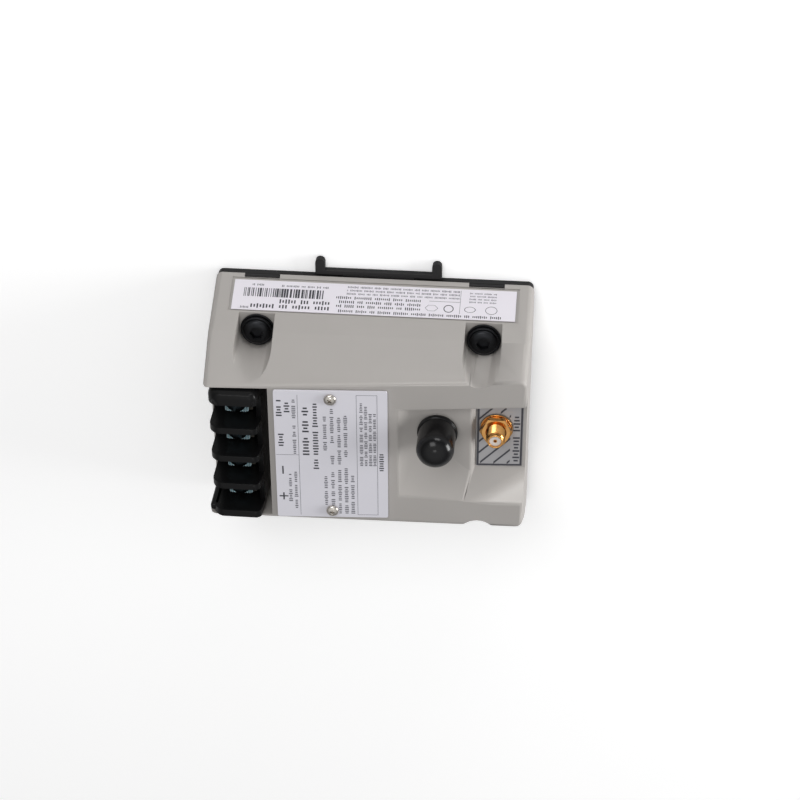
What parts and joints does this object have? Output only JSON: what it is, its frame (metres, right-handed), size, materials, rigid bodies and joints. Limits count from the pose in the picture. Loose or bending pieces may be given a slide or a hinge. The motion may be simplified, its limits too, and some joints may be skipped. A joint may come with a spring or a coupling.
{
  "type": "vibration sensor transmitter",
  "caption": "Grey moulded rail-mount vibration transmitter with a barrier terminal block, a gold coaxial jack, a capped bayonet jack and a sprung rail latch.",
  "frame": {"origin": "bottom centre of the whole object's box, the base lying flat on its back", "axes": "+X from the terminals to the open jack, +Y to the serial label and the rail latch, +Z out of the front face"},
  "size_m": [0.1082, 0.0987, 0.0503],
  "materials": {
    "housing_grey": "fine moulded grain, warm grey",
    "base_black": "satin black",
    "block_black": "glossy black",
    "zinc": "zinc plate, bluish",
    "nickel": "nickel plate",
    "gold": "gold plate",
    "brass": "bright",
    "black_steel": "black oxide",
    "spring_steel": "bright wire",
    "plate_white": "printed plate, satin",
    "label_white": "printed film",
    "label_grey": "printed film",
    "insulator_white": "waxy white",
    "cap_black": "soft glossy black",
    "board_green": "green board",
    "adjuster_blue": "blue"
  },
  "bodies": {
    "transmitter": {"housing": "housing_grey", "base_plate": "base_black", "terminal_block": "block_black", "name_plate": "plate_white", "serial_label": "label_white", "probe_label": "label_grey", "sma_jack": "gold", "sma_washer": "gold", "sma_nut": "gold", "sma_insulator": "insulator_white", "sma_contact": "gold", "bnc_jack": "nickel", "bnc_nut": "nickel", "bnc_insulator": "insulator_white", "bnc_contact": "gold", "bnc_cap": "cap_black", "circuit_board": "board_green", "zero_adjuster": "adjuster_blue", "span_adjuster": "adjuster_blue", "name_plate_screw_1": "nickel", "name_plate_screw_2": "nickel", "mounting_screw_1": "black_steel", "mounting_washer_1": "black_steel", "terminal_screw_1": "zinc", "terminal_clamp_1": "zinc", "terminal_tab_1": "brass", "board_screw_1": "zinc", "mounting_screw_2": "black_steel", "mounting_washer_2": "black_steel", "terminal_screw_2": "zinc", "terminal_clamp_2": "zinc", "terminal_tab_2": "brass", "board_screw_2": "zinc", "mounting_screw_3": "black_steel", "mounting_washer_3": "black_steel", "terminal_screw_3": "zinc", "terminal_clamp_3": "zinc", "terminal_tab_3": "brass", "board_screw_3": "zinc", "mounting_screw_4": "black_steel", "mounting_washer_4": "black_steel", "terminal_screw_4": "zinc", "terminal_clamp_4": "zinc", "terminal_tab_4": "brass", "board_screw_4": "zinc"},
    "din_latch": {"din_latch": "base_black", "latch_spring": "spring_steel"}
  },
  "joints": [
    {"name": "din_latch_slide", "type": "slide", "parent": "transmitter", "child": "din_latch", "axis": [0, 1, 0], "range_m": [0, 0.003], "stiffness_N_per_m": 600, "springref_m": -0.004, "deforming": ["latch_spring"]}
  ]
}
